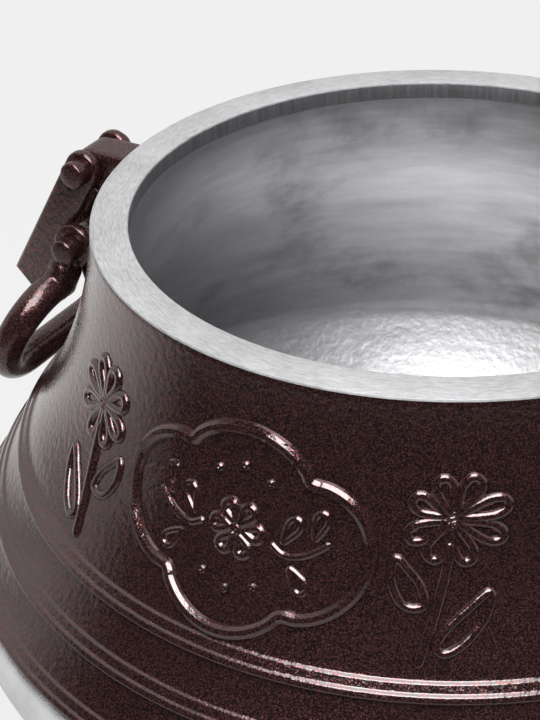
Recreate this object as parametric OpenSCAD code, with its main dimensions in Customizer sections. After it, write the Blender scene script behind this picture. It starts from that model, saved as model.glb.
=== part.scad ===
// Cast pressure-cooker pot with two fork clamps, two ring handles and its loose lid.
// Millimetres, +Z up. The origin is the centre of the flat base, and the clamps are on the X axis.

/* [Pot] */
// Height from the base to the flat rim
pot_h = 192; // [175:1:215]
// Outer radius of the flat rim
rim_r = 105; // [98:0.5:115]
// Width of the flat machined rim
rim_w = 11.5; // [10:0.1:13]
// Height of the straight machined band under the rim's inner edge
mouth_band_h = 6.5; // [4:0.5:9]
// Wall thickness of the shoulder and the bowl
wall = 8.5; // [7:0.1:9.5]
// Thickness of the flat base
base_t = 9; // [7:0.5:12]
// Lean of the outside at the rim, from upright
rim_lean = 4; // [3:0.5:5]
// Lean of the inside just below the machined band, from upright
throat_lean = 6; // [4:0.5:8]
// Lean of the conical shoulder, from upright
shoulder_lean = 29.5; // [28:0.25:31]
// Radius of the outward sweep from the neck to the shoulder
neck_sweep = 148; // [140:1:155]
// Depth below the rim where the cone ends and the belly turns in
belly_drop = 110; // [109:0.5:114]
// Radius of the turn from the shoulder to the bowl
belly_turn = 18; // [14:0.5:24]
// Inward lean where the belly's turn becomes the round bowl
belly_tuck = 25; // [20:1:30]
// Inward lean of the bowl where it meets the flat base
bowl_end = 78; // [72:1:82]

/* [Shoulder rings] */
// Depth of each raised ring's middle below the rim, from the top ring down
ring_drops = [74.8, 88.6, 103.8]; // [70:0.1:106]
// Height of a raised ring along the slope
band_h = 8; // [6:0.5:9]
// How far a raised ring stands out from the cone
band_proud = 3.2; // [2:0.1:4]
// Rounding of a raised ring's two edges
band_edge = 2.6; // [2:0.1:3]

/* [Clamps] */
// Distance of the clamp pin outside the rim
clamp_out = 21.2; // [20:0.1:23]
// Depth of the clamp pin below the rim
clamp_drop = 12.6; // [11.5:0.1:13.5]
// Radius of the clamp pin's shank
clamp_shank_r = 3.2; // [2.8:0.1:3.5]
// Width of a fork cheek at its pin
cheek_w = 12.8; // [12:0.1:14]
// Width of a fork cheek at its cut end
cheek_end_w = 11.4; // [10:0.1:12]
// Thickness of a fork cheek
cheek_t = 4; // [3:0.1:5]
// Width of the cast ear between the cheeks
ear_w = 13.4; // [11:0.1:16]
// Radius of the ear's round end
ear_end_r = 5.2; // [5:0.1:6]
// Drop from the ear's pin to the foot of its sloping underside
ear_root = 18; // [14:0.5:20]
// Length of the fork from its pin to its end, on the middle line
fork_len = 56; // [54.5:0.1:62]
// Slant of the fork's cut end
fork_slant = 15; // [0:1:20]
// Distance of the crossbar from the clamp pin
crossbar_at = 48.5; // [46:0.5:50]
// Radius of the crossbar between the cheeks
crossbar_r = 4.5; // [3.5:0.1:5.5]

/* [Ring handles] */
// Distance of the handle pin outside the rim
handle_out = 23.8; // [22:0.2:26]
// Depth of the handle pin below the rim
handle_drop = 39.5; // [38:0.1:42]
// Radius of the handle pin's shank
handle_shank_r = 3; // [2.6:0.1:3.2]
// Radius of the round end of the lug that carries the handle pin
lug_end_r = 4.8; // [4.6:0.1:6]
// Drop from the lug's pin to the foot of its sloping underside
lug_root = 30; // [26:0.5:32]
// Lean at which the ring stands, stiff on its painted pin
handle_lean = 25; // [24:0.5:30]
// Radius of the ring's two eyes
eye_r = 7.6; // [7:0.1:8.4]
// Thickness of each eye
eye_t = 4.4; // [4:0.1:6]
// Radius of the round bar of the loop
bar_r = 5.5; // [4.8:0.1:5.6]
// Extra radius of the two necks over the loop's bar
neck_swell = 0.3; // [0.2:0.05:0.5]
// Radius of the oval loop's round ends, at the middle of the bar
loop_end_r = 18.2; // [17.6:0.1:19]
// Half the length of the oval loop's straight bars
loop_half = 16.7; // [15.5:0.1:19]
// Distance of the loop's centre from the handle pin
loop_at = 35.8; // [35.6:0.1:38]
// Distance from the handle pin at which the round necks start
bar_start = 11.4; // [11.2:0.1:13]

/* [Pins] */
// Radius of the heads on the front ends of the pins
pin_head_r = 4.6; // [4.4:0.1:5]
// Length of a clamp pin's front head
clamp_head_l = 5; // [3:0.5:9]
// Length of a handle pin's front head
handle_head_l = 5.5; // [3:0.5:9]
// Thickness of the peened rear heads
tail_t = 1.8; // [1:0.1:3]
// Rounding of the heads' edges
head_round = 0.8; // [0.4:0.1:1]

/* [Lid] */
// Distance of the loose lid behind the pot, centre to centre
lid_y = 290; // [270:1:330]
// Distance of the flange's edge inside the rim's outer edge
flange_inset = 3; // [2:0.5:6]
// Thickness of the lid's flange
flange_t = 8; // [7:0.5:9]
// Rounding of the flange's upper edge
flange_round = 5; // [3:0.5:6]
// Depth of the locating lip under the lid
lip_h = 7; // [5:0.5:9]
// Thickness of the locating lip
lip_t = 7; // [5:0.5:9]
// Play of the locating lip in the pot's mouth
lip_play = 0.7; // [0.4:0.1:1]
// Width of the flange's flat top, outside the dome
flange_land = 16; // [14.5:0.5:19]
// Rise of the dome above the flange
dome_rise = 24; // [20:0.5:30]
// Wall thickness of the dome
dome_t = 6; // [5:0.1:7]
// Land between the locating lip and the gasket's groove
groove_land = 1.8; // [1.2:0.1:2.4]
// Land between the gasket's groove and the flange's edge
groove_edge = 2; // [1.5:0.1:3]
// Thickness of the gasket
gasket_t = 3; // [2:0.1:4]
// Depth of the gasket's groove
groove_d = 1.8; // [1:0.1:1.8]
// Width of the clamp pads across the lid
pad_w = 12.4; // [10:0.1:13]
// Length of the clamp pads from the crossbar's place in towards the dome
pad_l = 9; // [8:0.5:9.5]

/* [Lid grip] */
// Distance between the grip's two posts
grip_span = 76; // [64:1:88]
// Radius of the grip's round bar
grip_r = 7; // [6:0.1:8]
// Height of the grip's bar above the washers, at its middle line
grip_rise = 32; // [28:0.5:40]
// Radius of the grip's bends, at the middle line
grip_bend = 14; // [10:0.5:18]
// Radius of the round bosses under the posts
boss_r = 9.5; // [9:0.1:11]
// Height of the bosses above and below the dome
boss_h = 2; // [1:0.5:4]
// Thickness of the grip's washers
washer_t = 2.5; // [1.5:0.1:3.5]
// Radius of the grip screws' shanks
screw_r = 2.5; // [2:0.1:3]
// Radius of the grip screws' heads
screw_head_r = 5; // [4.5:0.1:6]
// Thickness of the grip screws' heads
screw_head_t = 3; // [2:0.1:4]
// Length of the screws inside the posts
screw_bite = 14; // [10:0.5:18]

/* [Valves] */
// Distance of each valve from the lid's centre
valve_at = 48; // [42:1:54]
// Width across the flats of the steam nozzle and its nut
nozzle_flats = 17; // [15:0.5:19]
// Thickness of the hexagons on the nozzle and the safety plug's bush
hex_t = 5; // [4:0.5:7]
// Thickness of the nozzle's nut
nut_t = 6; // [4:0.5:8]
// Thickness of the nozzle's sealing washer
seal_t = 2; // [1:0.5:3]
// Length of thread that shows below the lid
thread_end = 2; // [1:0.5:4]
// Radius of the nozzle's shank in the lid
nozzle_shank_r = 5; // [4:0.1:5.5]
// Height of the nozzle's stem above its hexagon
stem_h = 16; // [12:0.5:20]
// Radius of the stem
stem_r = 4.2; // [3.5:0.1:5]
// Radius of the nozzle's steam hole
steam_r = 1.5; // [1:0.1:2]
// Radius of the regulator weight
weight_r = 14; // [12:0.5:17]
// Height of the regulator weight
weight_h = 24; // [20:0.5:28]
// Bevel of the weight's edges
weight_bevel = 2; // [1:0.5:3]
// Depth of the hole in the weight that the stem goes into
weight_hole = 11; // [8:0.5:11.5]
// Radius of the neck that carries the weight's cap
cap_neck_r = 6; // [5:0.1:7]
// Height of that neck
cap_neck_h = 6; // [4:0.5:8]
// Height of the weight's cap
cap_h = 11; // [9:0.5:14]
// Radius of the weight's cap
cap_r = 12; // [11:0.5:14]
// Bevel of the cap's edges
cap_bevel = 2.5; // [1:0.5:3]
// Width across the flats of the safety plug's bush
bush_flats = 16; // [14:0.5:18]
// Radius of the safety plug's stem
plug_r = 4; // [3:0.1:4.5]
// Radius of the safety plug's domed head and of its inner flange
plug_head_r = 6.2; // [5.5:0.1:7]
// Height of the safety plug's domed head
plug_head_h = 3.2; // [2:0.1:4]
// Thickness of the safety plug's inner flange
plug_flange_t = 2; // [1:0.1:3]

/* [Clearances] */
// Radial clearance of a pin in its hole
pin_play = 0.05; // [0.02:0.01:0.1]
// Side play between pieces that turn past each other
side_play = 0.3; // [0.2:0.05:0.5]
// Play of the gasket in its groove, on every side
gasket_play = 0.2; // [0.1:0.05:0.3]
// Gap left where the weight sits on the nozzle's tip
tip_gap = 0.02; // [0.01:0.01:0.05]
// Gap left where a hanging piece rests on the pot
rest_gap = 0.3; // [0.2:0.05:0.5]

/* [Hidden] */
$fn = 96;

ENAMEL = [0.20, 0.13, 0.13];
STEEL = [0.62, 0.63, 0.65];
BRASS = [0.78, 0.62, 0.32];
RUBBER = [0.16, 0.16, 0.17];
PHENOLIC = [0.09, 0.08, 0.08];

// Steps in each arc of a turned profile
arc_steps = 10;
// Small amount by which a cut passes through a face
cut = 1;

// Last entry of a list
function last(v) = v[len(v) - 1];

// Points of an arc in a turned profile, going down from p while the lean changes
function lean_arc(p, radius, from, to) = [
    for (i = [1 : arc_steps])
        let (a = from + (to - from) * i / arc_steps, s = to > from ? 1 : -1)
        [p[0] + s * radius * (cos(from) - cos(a)), p[1] - s * radius * (sin(a) - sin(from))]
];

// Outside of the pot, from the rim down to the base
neck_out = lean_arc([rim_r, pot_h], neck_sweep, rim_lean, shoulder_lean);
belly_z = pot_h - belly_drop;

// Radius of the shoulder's cone at a height
function cone_r(z) = last(neck_out)[0] + (last(neck_out)[1] - z) * tan(shoulder_lean);

belly_top = [cone_r(belly_z), belly_z];
belly_out = lean_arc(belly_top, belly_turn, shoulder_lean, -belly_tuck);
bowl_top = last(belly_out);
bowl_r = bowl_top[1] / (sin(bowl_end) - sin(belly_tuck));
bowl_out = lean_arc(bowl_top, bowl_r, -belly_tuck, -bowl_end);

// Inside of the pot, one wall thickness in from the cone, the belly and the bowl
mouth_r = rim_r - rim_w;
throat_z = pot_h - mouth_band_h;
cone_in_shift = wall / cos(shoulder_lean);
throat_sweep = (mouth_r - cone_r(throat_z) + cone_in_shift)
    / ((sin(shoulder_lean) - sin(throat_lean)) * tan(shoulder_lean) - cos(throat_lean) + cos(shoulder_lean));
neck_in = lean_arc([mouth_r, throat_z], throat_sweep, throat_lean, shoulder_lean);
belly_in_top = belly_top - wall * [cos(shoulder_lean), sin(shoulder_lean)];
belly_in = lean_arc(belly_in_top, belly_turn - wall, shoulder_lean, -belly_tuck);
bowl_mid_z = bowl_top[1] + bowl_r * sin(belly_tuck);
bowl_in_end = asin((bowl_mid_z - base_t) / (bowl_r - wall));
bowl_in = lean_arc(last(belly_in), bowl_r - wall, -belly_tuck, -bowl_in_end);

// Places of the pins, to the right of the pot
clamp_pin = [rim_r + clamp_out, pot_h - clamp_drop];
handle_pin = [rim_r + handle_out, pot_h - handle_drop];

// Faces across the clamp and the handle, from the middle outwards
cheek_in = ear_w / 2 + side_play;
cheek_out = cheek_in + cheek_t;
eye_in = cheek_out + side_play;
eye_out = eye_in + eye_t;
lug_w = 2 * (eye_in - side_play);

// Lean at which the fork's cheeks rest on the lug's round end
pins_apart = norm(handle_pin - clamp_pin);
pins_lean = atan2(handle_pin[0] - clamp_pin[0], clamp_pin[1] - handle_pin[1]);
cheek_taper = atan2((cheek_w - cheek_end_w) / 2, fork_len);
cheek_reach = cheek_w / 2 * cos(cheek_taper) + lug_end_r + rest_gap;
fork_lean = pins_lean + asin(cheek_reach / pins_apart) - cheek_taper;

// Middle of a raised ring on the cone, and of its two round edges
function band_mid(drop) = [cone_r(pot_h - drop), pot_h - drop];
slope = [sin(shoulder_lean), -cos(shoulder_lean)];
outward = [cos(shoulder_lean), sin(shoulder_lean)];
function band_edge_mid(drop, side) =
    band_mid(drop) + outward * (band_proud - band_edge) + slope * side * (band_h / 2 - band_edge);

// Lid heights, measured from the floor that the loose lid lies on
seat_z = lip_h;
flange_top = seat_z + flange_t;
flange_r = rim_r - flange_inset;
dome_r = flange_r - flange_land;
lip_r = mouth_r - lip_play;
groove_in_r = lip_r + groove_land;
groove_out_r = flange_r - groove_edge;
dome_ball = (dome_r * dome_r + dome_rise * dome_rise) / (2 * dome_rise);
dome_mid = flange_top + dome_rise - dome_ball;
function dome_z(r) = dome_mid + sqrt(dome_ball * dome_ball - r * r);
function dome_under(r) = dome_mid + sqrt(pow(dome_ball - dome_t, 2) - r * r);
grip_x = grip_span / 2;
boss_top = dome_z(grip_x - boss_r) + boss_h;
boss_foot = dome_under(grip_x + boss_r) - boss_h;
post_foot = boss_top + washer_t;
valve_top = dome_z(valve_at - boss_r) + boss_h;
valve_foot = dome_under(valve_at + boss_r) - boss_h;
tip_z = valve_top + seal_t + hex_t + stem_h;

// The fork's crossbar lands on the clamp pads when the lid is on the pot
rim_clear = 2;
corner = [clamp_out, clamp_drop];
fork_closed = atan2(corner[1], corner[0]) + asin((cheek_w / 2 + rim_clear) / norm(corner));
pad_x = clamp_pin[0] - crossbar_at * cos(fork_closed);
pad_bar_z = seat_z - (gasket_t - groove_d) - clamp_drop + crossbar_at * sin(fork_closed);

// A raised ring's section: two round edges joined by a flat face
module band_section(drop) {
    for (side = [-1, 1])
        translate(band_edge_mid(drop, side)) circle(r = band_edge);
    translate(band_mid(drop))
        rotate(shoulder_lean)
            translate([-wall / 2, -band_h / 2 + band_edge])
                square([wall / 2 + band_proud, band_h - 2 * band_edge]);
}

// Half section of the pot's wall
module pot_section() {
    difference() {
        union() {
            polygon(concat([[0, 0], [0, pot_h], [rim_r, pot_h]], neck_out, [belly_top], belly_out, bowl_out));
            for (drop = ring_drops) band_section(drop);
        }
        polygon(concat(
            [[0, base_t], [0, pot_h + cut], [mouth_r, pot_h + cut], [mouth_r, throat_z]],
            neck_in, [belly_in_top], belly_in, bowl_in));
    }
}

// Arm with a round end at a pin, seen from the front, running back into the wall. Its underside leaves
// the round end some degrees below level.
module arm_outline(pin, end_r, root_x, root_drop, leave) {
    translate(pin) circle(r = end_r);
    polygon([
        pin + [0, end_r], [root_x, pin[1] + end_r],
        [root_x + root_drop * tan(shoulder_lean), pin[1] - root_drop], pin + end_r * [cos(leave), -sin(leave)]
    ]);
}

// Places an outline drawn in X and Z, centred across Y
module across(width) {
    rotate([90, 0, 0])
        linear_extrude(width, center = true) children();
}

// Hole or shank along Y at a pin's place
module along_pin(pin, radius, length) {
    translate([pin[0], 0, pin[1]])
        rotate([90, 0, 0]) cylinder(r = radius, h = length, center = true);
}

// Cast ear for the clamp and lug for the ring handle, on the right side
module ear_and_lug() {
    difference() {
        union() {
            across(ear_w) arm_outline(clamp_pin, ear_end_r, rim_r - rim_w / 2, ear_root, 60);
            across(lug_w) arm_outline(handle_pin, lug_end_r, rim_r, lug_root, 20);
        }
        along_pin(clamp_pin, clamp_shank_r + pin_play, ear_w + cut);
        along_pin(handle_pin, handle_shank_r + pin_play, lug_w + cut);
    }
}

module pot_body() {
    color(ENAMEL) {
        rotate_extrude() pot_section();
        ear_and_lug();
        mirror([1, 0, 0]) ear_and_lug();
    }
}

// Turns a piece drawn hanging straight down from the origin to its place on the right side
module hang(pin, lean) {
    translate([pin[0], 0, pin[1]]) rotate([0, -lean, 0]) children();
}

// One cheek's outline, hanging from its pin, with a slanted end
module cheek_outline() {
    half = cheek_w / 2;
    end = cheek_end_w / 2;
    circle(r = half);
    polygon([
        [-half, 0], [half, 0],
        [end, -fork_len + end * tan(fork_slant)], [-end, -fork_len - end * tan(fork_slant)]
    ]);
}

module fork() {
    hang(clamp_pin, fork_lean)
        difference() {
            union() {
                for (side = [-1, 1])
                    translate([0, side * (cheek_in + cheek_out) / 2, 0])
                        across(cheek_t) cheek_outline();
                translate([0, 0, -crossbar_at])
                    rotate([90, 0, 0]) cylinder(r = crossbar_r, h = cheek_in * 2 + cut, center = true);
            }
            along_pin([0, 0], clamp_shank_r + pin_play, 2 * cheek_out + cut);
        }
}

// Pin with a long front head, a shank and a peened rear head
module headed_pin(pin, shank_r, reach, head_l) {
    front = reach + side_play;
    translate([pin[0], 0, pin[1]])
        rotate([90, 0, 0])
            rotate_extrude()
                polygon([
                    [0, -front - tail_t], [pin_head_r - head_round, -front - tail_t],
                    [pin_head_r, -front - tail_t + head_round], [pin_head_r, -front],
                    [shank_r, -front], [shank_r, front], [pin_head_r, front],
                    [pin_head_r, front + head_l - head_round],
                    [pin_head_r - head_round, front + head_l], [0, front + head_l]
                ]);
}

// The ring's round loop is open at the top, where a short neck joins each end to its eye
eye_mid = (eye_in + eye_out) / 2;
neck_l = loop_at - loop_end_r;

// Bar of the ring, straight across Y from one place to another
module ring_bar(from, to, drop) {
    translate([0, from, -drop])
        rotate([-90, 0, 0]) cylinder(r = bar_r, h = to - from, $fn = 48);
}

// Half of the ring: an eye, the neck below it and a round end of the oval loop
module ring_half() {
    translate([0, eye_mid, 0]) {
        rotate([90, 0, 0]) cylinder(r = eye_r, h = eye_t, center = true);
        translate([0, 0, -bar_start]) sphere(r = bar_r + neck_swell);
        translate([0, 0, -neck_l]) cylinder(r = bar_r + neck_swell, h = neck_l - bar_start);
        translate([0, 0, -neck_l]) sphere(r = bar_r + neck_swell);
    }
    ring_bar(eye_mid, loop_half, neck_l);
    translate([0, loop_half, -loop_at])
        rotate([0, 90, 0])
            rotate_extrude(angle = 180)
                translate([loop_end_r, 0]) circle(r = bar_r, $fn = 48);
}

// Oval ring, open between its eyes so that it swings past the fork's cheeks
module ring_handle() {
    hang(handle_pin, handle_lean)
        difference() {
            union() {
                ring_half();
                mirror([0, 1, 0]) ring_half();
                ring_bar(-loop_half, loop_half, loop_at + loop_end_r);
            }
            cube([3 * eye_r, 2 * eye_in, 2 * (loop_at - eye_r)], center = true);
            along_pin([0, 0], handle_shank_r + pin_play, 2 * eye_out + cut);
        }
}

module clamp_rivet() { headed_pin(clamp_pin, clamp_shank_r, cheek_out, clamp_head_l); }
module handle_rivet() { headed_pin(handle_pin, handle_shank_r, eye_out, handle_head_l); }

// Puts a right-hand piece on the left
module to_left() { mirror([1, 0, 0]) children(); }

module left_clamp_fork() { color(ENAMEL) to_left() fork(); }
module left_clamp_pin() { color(ENAMEL) to_left() clamp_rivet(); }
module left_ring_handle() { color(ENAMEL) to_left() ring_handle(); }
module left_ring_pin() { color(ENAMEL) to_left() handle_rivet(); }
module right_clamp_fork() { color(ENAMEL) fork(); }
module right_clamp_pin() { color(ENAMEL) clamp_rivet(); }
module right_ring_handle() { color(ENAMEL) ring_handle(); }
module right_ring_pin() { color(ENAMEL) handle_rivet(); }

// Puts a piece of the lid in its place behind the pot
module on_lid() {
    translate([0, lid_y, 0]) children();
}

// Puts a piece at the steam nozzle, towards the pot, or at the safety plug, away from it
module at_nozzle() {
    on_lid() translate([0, -valve_at, 0]) children();
}
module at_plug() {
    on_lid() translate([0, valve_at, 0]) children();
}

// Half section of the lid: lip, flange with a gasket groove, and a hollow dome
module lid_section() {
    difference() {
        union() {
            translate([0, seat_z]) square([flange_r, flange_t - flange_round]);
            translate([0, seat_z]) square([flange_r - flange_round, flange_t]);
            intersection() {
                translate([flange_r - flange_round, flange_top - flange_round]) circle(r = flange_round);
                translate([0, seat_z]) square([flange_r, flange_t]);
            }
            square([lip_r, lip_h + cut]);
            intersection() {
                translate([0, dome_mid]) circle(r = dome_ball, $fn = 240);
                translate([0, seat_z]) square([dome_r, dome_ball]);
            }
        }
        translate([groove_in_r, seat_z - cut]) square([groove_out_r - groove_in_r, groove_d + cut]);
        intersection() {
            translate([0, dome_mid]) circle(r = dome_ball - dome_t, $fn = 240);
            translate([0, -cut]) square([lip_r - lip_t, dome_ball]);
        }
        translate([-dome_ball, -2 * dome_ball]) square([dome_ball, 4 * dome_ball]);
    }
}

// Pad on the flange: a ramp that the fork's crossbar rides up, and a saddle that it drops into
module clamp_pad() {
    top = pad_bar_z - seat_z;
    pad_end = flange_r - 1 - pad_x;
    difference() {
        translate([pad_x, 0, seat_z])
            across(pad_w)
                polygon([
                    [-pad_l, flange_t / 2], [pad_end, flange_t / 2], [pad_end, top - 2 * crossbar_r],
                    [0, top - crossbar_r], [-crossbar_r, top], [-pad_l, top]
                ]);
        translate([pad_x, 0, pad_bar_z])
            rotate([90, 0, 0]) cylinder(r = crossbar_r + side_play, h = pad_w + cut, center = true);
    }
}

module lid_shell() {
    color(ENAMEL) on_lid()
        difference() {
            union() {
                rotate_extrude() lid_section();
                clamp_pad();
                mirror([1, 0, 0]) clamp_pad();
                for (x = [-grip_x, grip_x])
                    translate([x, 0, boss_foot]) cylinder(r = boss_r, h = boss_top - boss_foot);
                for (y = [-valve_at, valve_at])
                    translate([0, y, valve_foot]) cylinder(r = boss_r, h = valve_top - valve_foot);
            }
            for (x = [-grip_x, grip_x])
                translate([x, 0, boss_foot - cut])
                    cylinder(r = screw_r + pin_play, h = boss_top - boss_foot + 2 * cut);
            for (y = [-valve_at, valve_at])
                translate([0, y, valve_foot - cut])
                    cylinder(r = nozzle_shank_r + pin_play, h = valve_top - valve_foot + 2 * cut);
        }
}

module lid_gasket() {
    color(RUBBER) on_lid()
        translate([0, 0, seat_z + groove_d - gasket_play - gasket_t])
            difference() {
                cylinder(r = groove_out_r - gasket_play, h = gasket_t);
                translate([0, 0, -cut]) cylinder(r = groove_in_r + gasket_play, h = gasket_t + 2 * cut);
            }
}

// Quarter bend of the grip, from a post to the bar
module grip_corner() {
    translate([grip_x - grip_bend, 0, post_foot + grip_rise - grip_bend])
        rotate([90, 0, 0])
            rotate_extrude(angle = 90) translate([grip_bend, 0]) circle(r = grip_r, $fn = 48);
}

module lid_grip() {
    color(PHENOLIC) on_lid()
        difference() {
            union() {
                for (x = [-grip_x, grip_x])
                    translate([x, 0, post_foot]) cylinder(r = grip_r, h = grip_rise - grip_bend);
                grip_corner();
                mirror([1, 0, 0]) grip_corner();
                translate([0, 0, post_foot + grip_rise])
                    rotate([0, 90, 0]) cylinder(r = grip_r, h = grip_span - 2 * grip_bend, center = true);
            }
            for (x = [-grip_x, grip_x])
                translate([x, 0, post_foot - cut]) cylinder(r = screw_r + pin_play, h = screw_bite + 2 * cut);
        }
}

module grip_washers() {
    color(STEEL) on_lid()
        for (x = [-grip_x, grip_x])
            translate([x, 0, boss_top])
                difference() {
                    cylinder(r = boss_r, h = washer_t);
                    translate([0, 0, -cut]) cylinder(r = screw_r + pin_play, h = washer_t + 2 * cut);
                }
}

module grip_screws() {
    color(STEEL) on_lid()
        for (x = [-grip_x, grip_x])
            translate([x, 0, boss_foot - screw_head_t]) {
                cylinder(r = screw_head_r, h = screw_head_t);
                cylinder(r = screw_r, h = screw_head_t + post_foot - boss_foot + screw_bite);
            }
}

// Hexagonal prism of a given width across its flats
module hexagon(flats, height) {
    cylinder(r = flats / 2 / cos(30), h = height, $fn = 6);
}

// Lower end of the nozzle's thread
thread_foot = valve_foot - nut_t - thread_end;

module steam_nozzle() {
    color(BRASS) at_nozzle()
        difference() {
            union() {
                translate([0, 0, thread_foot])
                    cylinder(r = nozzle_shank_r, h = valve_top + seal_t + hex_t / 2 - thread_foot);
                translate([0, 0, valve_top + seal_t]) hexagon(nozzle_flats, hex_t);
                translate([0, 0, valve_top + seal_t]) cylinder(r = stem_r, h = hex_t + stem_h - stem_r / 2);
                translate([0, 0, tip_z - stem_r / 2]) cylinder(r1 = stem_r, r2 = stem_r / 2, h = stem_r / 2);
            }
            translate([0, 0, thread_foot - cut]) cylinder(r = steam_r, h = tip_z);
        }
}

module nozzle_seal() {
    color(RUBBER) at_nozzle()
        translate([0, 0, valve_top])
            difference() {
                cylinder(r = nozzle_flats / 2, h = seal_t);
                translate([0, 0, -cut]) cylinder(r = nozzle_shank_r + pin_play, h = seal_t + 2 * cut);
            }
}

module nozzle_nut() {
    color(BRASS) at_nozzle()
        translate([0, 0, valve_foot - nut_t])
            difference() {
                hexagon(nozzle_flats, nut_t);
                translate([0, 0, -cut]) cylinder(r = nozzle_shank_r + pin_play, h = nut_t + 2 * cut);
            }
}

// The weight sits on the nozzle's tip and slides up its stem
weight_z = tip_z + tip_gap - weight_hole;

module regulator_weight() {
    color(STEEL) at_nozzle()
        translate([0, 0, weight_z])
            difference() {
                rotate_extrude()
                    polygon([
                        [0, 0], [weight_r - weight_bevel, 0], [weight_r, weight_bevel],
                        [weight_r, weight_h - weight_bevel], [weight_r - weight_bevel, weight_h],
                        [cap_neck_r, weight_h], [cap_neck_r, weight_h + cap_neck_h],
                        [0, weight_h + cap_neck_h]
                    ]);
                translate([0, 0, -cut]) cylinder(r = stem_r + side_play, h = weight_hole + cut);
            }
}

module weight_cap() {
    color(PHENOLIC) at_nozzle()
        translate([0, 0, weight_z + weight_h])
            difference() {
                rotate_extrude()
                    polygon([
                        [0, 0], [cap_r - cap_bevel, 0], [cap_r, cap_bevel],
                        [cap_r, cap_h - cap_bevel], [cap_r - cap_bevel, cap_h], [0, cap_h]
                    ]);
                translate([0, 0, -cut]) cylinder(r = cap_neck_r + pin_play, h = cap_neck_h + cut + pin_play);
            }
}

module safety_bush() {
    color(BRASS) at_plug()
        difference() {
            union() {
                translate([0, 0, valve_foot - thread_end])
                    cylinder(r = nozzle_shank_r, h = valve_top - valve_foot + thread_end + cut);
                translate([0, 0, valve_top]) hexagon(bush_flats, hex_t);
            }
            translate([0, 0, valve_foot - thread_end - cut]) cylinder(r = plug_r, h = tip_z);
        }
}

// Ball that the safety plug's domed head is cut from
plug_ball = (plug_head_r * plug_head_r + plug_head_h * plug_head_h) / (2 * plug_head_h);

module safety_plug() {
    color(RUBBER) at_plug() {
        translate([0, 0, valve_foot - thread_end - plug_flange_t])
            cylinder(r = plug_head_r, h = plug_flange_t);
        translate([0, 0, valve_foot - thread_end - plug_flange_t / 2])
            cylinder(r = plug_r - pin_play, h = valve_top + hex_t - valve_foot + thread_end + plug_flange_t);
        translate([0, 0, valve_top + hex_t])
            intersection() {
                translate([0, 0, plug_head_h - plug_ball]) sphere(r = plug_ball);
                cylinder(r = plug_ball, h = plug_ball);
            }
    }
}

pot_body();
left_clamp_fork();
left_clamp_pin();
left_ring_handle();
left_ring_pin();
right_clamp_fork();
right_clamp_pin();
right_ring_handle();
right_ring_pin();
lid_shell();
lid_gasket();
lid_grip();
grip_washers();
grip_screws();
steam_nozzle();
nozzle_seal();
nozzle_nut();
regulator_weight();
weight_cap();
safety_bush();
safety_plug();
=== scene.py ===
"""Looks of a cast pressure-cooker pot: hammer enamel, turned aluminium, relief flowers and a loose lid.

The classes of the pieces are in millimetres, which become metres in the meshes. The finishes and the studio
are in metres. The pot's base is at the origin, the clamps are on the X axis and the front faces -Y.
"""
import logging
import math
from collections.abc import Sequence
from dataclasses import dataclass
from enum import Enum

import bmesh
import bpy
from mathutils import Matrix, Vector


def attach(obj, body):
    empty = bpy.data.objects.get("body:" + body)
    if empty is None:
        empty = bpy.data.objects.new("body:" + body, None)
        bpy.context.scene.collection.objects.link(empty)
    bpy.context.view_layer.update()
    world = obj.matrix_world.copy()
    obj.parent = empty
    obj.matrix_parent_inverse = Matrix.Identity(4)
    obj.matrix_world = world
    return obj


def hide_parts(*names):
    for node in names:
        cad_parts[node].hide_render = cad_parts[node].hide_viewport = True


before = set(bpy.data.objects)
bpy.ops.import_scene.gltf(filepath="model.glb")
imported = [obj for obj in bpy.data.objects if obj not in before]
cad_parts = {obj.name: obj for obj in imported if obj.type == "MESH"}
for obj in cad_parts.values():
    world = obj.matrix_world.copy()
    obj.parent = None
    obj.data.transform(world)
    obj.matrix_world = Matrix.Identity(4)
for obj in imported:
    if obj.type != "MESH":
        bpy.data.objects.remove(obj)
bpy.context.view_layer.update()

Point = tuple[float, float]
Span = tuple[float, float]
Place = tuple[float, float, float]
Colour = tuple[float, float, float, float]

MM = 0.001
SEAM = 1e-6
CLAMP_PIN: Point = (126.2, 179.4)
RING_PIN: Point = (128.8, 152.5)
log = logging.getLogger("cooker")


class Slot(Enum):
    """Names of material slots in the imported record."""

    CASTING = "enamelled_casting"
    PAINTED = "painted_steel"


class Side(Enum):
    """The two sides of the pot, as the sign of X."""

    LEFT = -1
    RIGHT = 1

    @property
    def word(self) -> str:
        """The side as it stands in the pieces' names."""
        return self.name.lower()


class Socket:
    """A shader output that takes part in Python arithmetic on plain values."""

    def __init__(self, shader: "Sheet", output: bpy.types.NodeSocket) -> None:
        """Keeps the output and the shader that it belongs to."""
        self.shader = shader
        self.output = output

    def _math(self, operation: str, first: "Socket | float", second: "Socket | float") -> "Socket":
        """Adds one Math node to the shader."""
        return self.shader.node("ShaderNodeMath", {"operation": operation}, {0: first, 1: second})

    def __add__(self, other: "Socket | float") -> "Socket":
        """Sum."""
        return self._math("ADD", self, other)

    __radd__ = __add__

    def __sub__(self, other: "Socket | float") -> "Socket":
        """Difference."""
        return self._math("SUBTRACT", self, other)

    def __rsub__(self, other: float) -> "Socket":
        """Difference from a number."""
        return self._math("SUBTRACT", other, self)

    def __mul__(self, other: "Socket | float") -> "Socket":
        """Product."""
        return self._math("MULTIPLY", self, other)

    __rmul__ = __mul__

    def __pow__(self, other: float) -> "Socket":
        """Power."""
        return self._math("POWER", self, other)

    def step(self, low: float, high: float) -> "Socket":
        """Smooth step from 0 at low to 1 at high."""
        inputs = {"Value": self, "From Min": low, "From Max": high}
        return self.shader.node("ShaderNodeMapRange", {"interpolation_type": "SMOOTHSTEP"}, inputs)


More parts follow.
